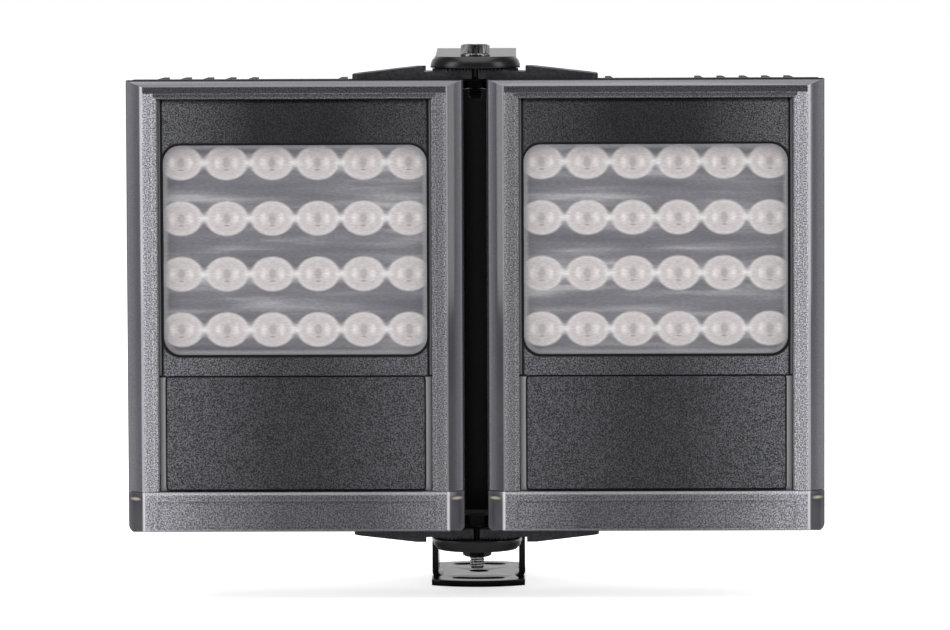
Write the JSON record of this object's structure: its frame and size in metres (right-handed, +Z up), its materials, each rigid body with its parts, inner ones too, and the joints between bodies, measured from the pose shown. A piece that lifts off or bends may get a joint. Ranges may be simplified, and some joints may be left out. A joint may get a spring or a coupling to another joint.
{
  "type": "infrared illuminator",
  "caption": "Infrared illuminator with side-by-side finned lamp panels, smoked lens frames, a toothed centre hinge and a folded U bracket.",
  "frame": {"origin": "centre of the round hole in the U bracket's base, on the underside that is bolted down", "axes": "+Z up along the base hole, +X to the viewer's right, +Y to the back; the lamps shine towards -Y"},
  "size_m": [0.2786, 0.1224, 0.2232],
  "materials": {
    "painted_casting": "fine satin black powder coat",
    "black_steel": "semi-gloss black paint",
    "bracket_sheet": "smooth black powder coat",
    "stainless": "plain stainless",
    "black_zinc": "black zinc plate",
    "nylon": "matt",
    "smoked_polycarbonate": "clear, smoked grey",
    "bar_polycarbonate": "smoked grey, satin",
    "bezel_plastic": "fine spark-eroded texture",
    "clear_cover": "clear",
    "diffuser_sheet": "finely ribbed",
    "rubber": "matt",
    "board": "white solder mask",
    "driver": "green solder mask",
    "emitter": "moulded",
    "optic": "clear acrylic",
    "gland_plastic": "satin",
    "vent_plastic": "satin"
  },
  "bodies": {
    "bracket": {"u_bracket": "bracket_sheet", "tilt_bolts": "stainless", "tilt_washers": "stainless", "friction_washers": "nylon"},
    "spine": {"spine": "painted_casting", "pivot_bolts": "stainless", "pivot_nuts": "black_zinc", "pivot_washer": "stainless", "thrust_washers": "stainless"},
    "right_lamp": {"right_housing": "painted_casting", "right_top_arm": "black_steel", "right_bottom_arm": "black_steel", "right_arm_screws": "stainless", "right_led_board": "board", "right_emitters": "emitter", "right_optics": "optic", "right_gasket": "rubber", "right_cover": "clear_cover", "right_diffuser": "diffuser_sheet", "right_bezel": "bezel_plastic", "right_lens_frame": "smoked_polycarbonate", "right_bottom_bar": "bar_polycarbonate", "right_bar_screws": "stainless", "right_frame_screws": "stainless", "right_driver_board": "driver", "right_board_screws": "stainless", "right_gland_body": "gland_plastic", "right_gland_nut": "gland_plastic", "right_gland_seal": "rubber", "right_lock_nut": "gland_plastic", "right_vent": "vent_plastic"},
    "left_lamp": {"left_housing": "painted_casting", "left_top_arm": "black_steel", "left_bottom_arm": "black_steel", "left_arm_screws": "stainless", "left_led_board": "board", "left_emitters": "emitter", "left_optics": "optic", "left_gasket": "rubber", "left_cover": "clear_cover", "left_diffuser": "diffuser_sheet", "left_bezel": "bezel_plastic", "left_lens_frame": "smoked_polycarbonate", "left_bottom_bar": "bar_polycarbonate", "left_bar_screws": "stainless", "left_frame_screws": "stainless", "left_driver_board": "driver", "left_board_screws": "stainless", "left_gland_body": "gland_plastic", "left_gland_nut": "gland_plastic", "left_gland_seal": "rubber", "left_lock_nut": "gland_plastic", "left_vent": "vent_plastic"}
  },
  "joints": [
    {"name": "tilt", "type": "hinge", "parent": "bracket", "child": "spine", "pos_m": [0, 0, 0.059], "axis": [1, 0, 0], "range_deg": [-100, 10]},
    {"name": "right_pan", "type": "hinge", "parent": "spine", "child": "right_lamp", "pos_m": [0, -0.064, 0.119], "axis": [0, 0, 1], "range_deg": [0, 25]},
    {"name": "left_pan", "type": "hinge", "parent": "spine", "child": "left_lamp", "pos_m": [0, -0.064, 0.119], "axis": [0, 0, -1], "range_deg": [0, 25]}
  ]
}
